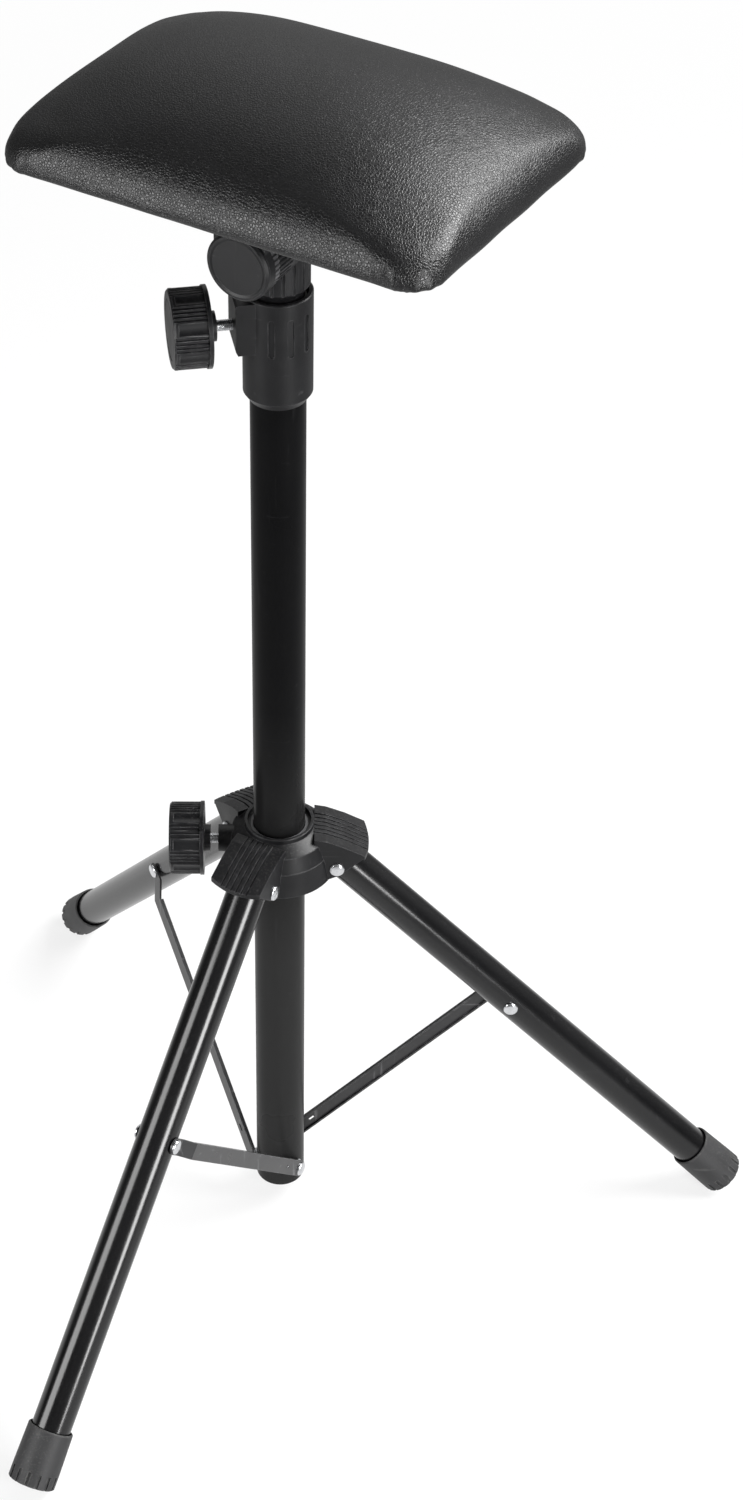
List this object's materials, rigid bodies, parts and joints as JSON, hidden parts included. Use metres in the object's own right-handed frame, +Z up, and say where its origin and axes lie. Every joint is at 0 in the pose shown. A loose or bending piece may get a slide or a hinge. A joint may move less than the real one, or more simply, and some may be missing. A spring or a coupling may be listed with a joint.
{
  "type": "tattoo arm rest stand",
  "caption": "Folding tripod stand with a height-adjustable post and a tilting padded arm rest for tattoo work.",
  "frame": {"origin": "on the floor under the column's axis", "axes": "+Z up along the column, +X along the first leg"},
  "size_m": [0.4801, 0.5496, 0.845],
  "materials": {
    "black_paint": "gloss black powder coat",
    "dark_plastic": "satin black moulded nylon",
    "grey_plastic": "satin grey moulded insert",
    "black_rubber": "ribbed moulded rubber",
    "white_plastic": "natural acetal",
    "sheet_steel": "satin black painted sheet steel",
    "bright_steel": "bright nickel plate",
    "zinc_steel": "zinc plate",
    "black_leather": "pebbled synthetic leather",
    "cream_foam": "open cell polyurethane foam",
    "plywood": "birch plywood",
    "dark_cloth": "non-woven lining cloth"
  },
  "bodies": {
    "hub": {"hub_body": "dark_plastic", "hub_bush": "grey_plastic", "hub_rivets": "bright_steel", "hub_nut": "zinc_steel"},
    "hub_clamp_shoe": {"hub_shoe": "zinc_steel"},
    "hub_clamp_screw": {"hub_stud": "bright_steel", "hub_knob": "dark_plastic", "hub_knob_cap": "grey_plastic"},
    "leg_1": {"leg_tube_1": "black_paint", "leg_knuckle_1": "dark_plastic", "foot_1": "black_rubber", "brace_pin_1": "bright_steel"},
    "brace_link_1": {"brace_1": "sheet_steel", "base_rivet_1": "bright_steel"},
    "leg_2": {"leg_tube_2": "black_paint", "leg_knuckle_2": "dark_plastic", "foot_2": "black_rubber", "brace_pin_2": "bright_steel"},
    "brace_link_2": {"brace_2": "sheet_steel", "base_rivet_2": "bright_steel"},
    "leg_3": {"leg_tube_3": "black_paint", "leg_knuckle_3": "dark_plastic", "foot_3": "black_rubber", "brace_pin_3": "bright_steel"},
    "brace_link_3": {"brace_3": "sheet_steel", "base_rivet_3": "bright_steel"},
    "column": {"column_tube": "black_paint", "column_plug": "dark_plastic", "base_washers": "zinc_steel", "column_bush": "white_plastic", "collar": "dark_plastic", "collar_nut": "zinc_steel"},
    "height_clamp_shoe": {"height_shoe": "zinc_steel"},
    "height_clamp_screw": {"height_stud": "bright_steel", "height_knob": "dark_plastic", "height_knob_cap": "grey_plastic"},
    "post_guide": {"post_ferrule": "white_plastic"},
    "post_head": {"post_tube": "bright_steel", "post_spindle": "dark_plastic", "post_retainer": "zinc_steel", "tilt_lower": "dark_plastic", "stem_pin": "zinc_steel", "tilt_ring": "bright_steel"},
    "pad_bracket": {"tilt_upper": "dark_plastic", "tilt_disc": "dark_plastic", "tilt_bolt": "bright_steel", "bracket_screws": "zinc_steel", "mounting_plate": "sheet_steel", "plate_screws": "zinc_steel", "pad_lining": "dark_cloth", "pad_board": "plywood", "pad_tee_nuts": "zinc_steel", "pad_foam": "cream_foam", "pad_cover": "black_leather", "pad_staples": "zinc_steel"},
    "tilt_knob_set": {"tilt_knob": "dark_plastic", "tilt_knob_insert": "zinc_steel"},
    "tilt_knob_washer": {"tilt_washer": "zinc_steel"}
  },
  "joints": [
    {"name": "leg_1_fold", "type": "hinge", "parent": "hub", "child": "leg_1", "pos_m": [0.036, 0, 0.29858], "axis": [0, 1, 0], "range_deg": [0, 42.8]},
    {"name": "leg_2_fold", "type": "hinge", "parent": "hub", "child": "leg_2", "pos_m": [-0.018, 0.03118, 0.29858], "axis": [-0.866, -0.5, 0], "range_deg": [0, 42.8]},
    {"name": "leg_3_fold", "type": "hinge", "parent": "hub", "child": "leg_3", "pos_m": [-0.018, -0.03118, 0.29858], "axis": [0.866, -0.5, 0], "range_deg": [0, 42.8]},
    {"name": "brace_1_fold", "type": "hinge", "parent": "leg_1", "child": "brace_link_1", "pos_m": [0.15015, 0, 0.17531], "axis": [0, 1, 0], "range_deg": [-78.72, 0]},
    {"name": "brace_2_fold", "type": "hinge", "parent": "leg_2", "child": "brace_link_2", "pos_m": [-0.07507, 0.13003, 0.17531], "axis": [-0.866, -0.5, 0], "range_deg": [-78.72, 0]},
    {"name": "brace_3_fold", "type": "hinge", "parent": "leg_3", "child": "brace_link_3", "pos_m": [-0.07507, -0.13003, 0.17531], "axis": [0.866, -0.5, 0], "range_deg": [-78.72, 0]},
    {"name": "column_slide", "type": "slide", "parent": "hub", "child": "column", "axis": [0, 0, 1], "range_m": [-0.10158, 0]},
    {"name": "post_slide", "type": "slide", "parent": "column", "child": "post_guide", "axis": [0, 0, 1], "range_m": [0, 0.25]},
    {"name": "post_swivel", "type": "hinge", "parent": "post_guide", "child": "post_head", "pos_m": [0, 0, 0.70034], "axis": [0, 0, 1], "continuous": true},
    {"name": "pad_tilt", "type": "hinge", "parent": "post_head", "child": "pad_bracket", "pos_m": [0, 0, 0.73574], "axis": [-0.518, -0.8554, 0], "range_deg": [-45, 45]},
    {"name": "hub_clamp_slide", "type": "slide", "parent": "hub", "child": "hub_clamp_shoe", "axis": [-1, 0, 0], "range_m": [0, 0.00201]},
    {"name": "hub_clamp_turn", "type": "hinge", "parent": "hub_clamp_shoe", "child": "hub_clamp_screw", "pos_m": [-0.03, 0, 0.30958], "axis": [-1, 0, 0], "range_deg": [0, 720]},
    {"name": "height_clamp_slide", "type": "slide", "parent": "column", "child": "height_clamp_shoe", "axis": [-0.9848, -0.1736, 0], "range_m": [0, 0.00201]},
    {"name": "height_clamp_turn", "type": "hinge", "parent": "height_clamp_shoe", "child": "height_clamp_screw", "pos_m": [-0.02954, -0.00521, 0.68314], "axis": [-0.9848, -0.1736, 0], "range_deg": [0, 720]},
    {"name": "tilt_clamp_slide", "type": "slide", "parent": "pad_bracket", "child": "tilt_knob_washer", "axis": [0.518, 0.8554, 0], "range_m": [0, 0.00251]},
    {"name": "tilt_clamp_turn", "type": "hinge", "parent": "tilt_knob_washer", "child": "tilt_knob_set", "pos_m": [0, 0, 0.73574], "axis": [0.518, 0.8554, 0], "range_deg": [0, 720]}
  ],
  "couplings": [
    {"joint": "leg_2_fold", "follows": "leg_1_fold", "ratio": 1},
    {"joint": "leg_3_fold", "follows": "leg_1_fold", "ratio": 1},
    {"joint": "brace_1_fold", "follows": "leg_1_fold", "ratio": -1.838},
    {"joint": "brace_2_fold", "follows": "leg_1_fold", "ratio": -1.838},
    {"joint": "brace_3_fold", "follows": "leg_1_fold", "ratio": -1.838},
    {"joint": "column_slide", "follows": "leg_1_fold", "m_per_rad": -0.13585},
    {"joint": "hub_clamp_slide", "follows": "hub_clamp_turn", "m_per_rad": 0.00015915},
    {"joint": "height_clamp_slide", "follows": "height_clamp_turn", "m_per_rad": 0.00015915},
    {"joint": "tilt_clamp_slide", "follows": "tilt_clamp_turn", "m_per_rad": 0.00019894}
  ]
}
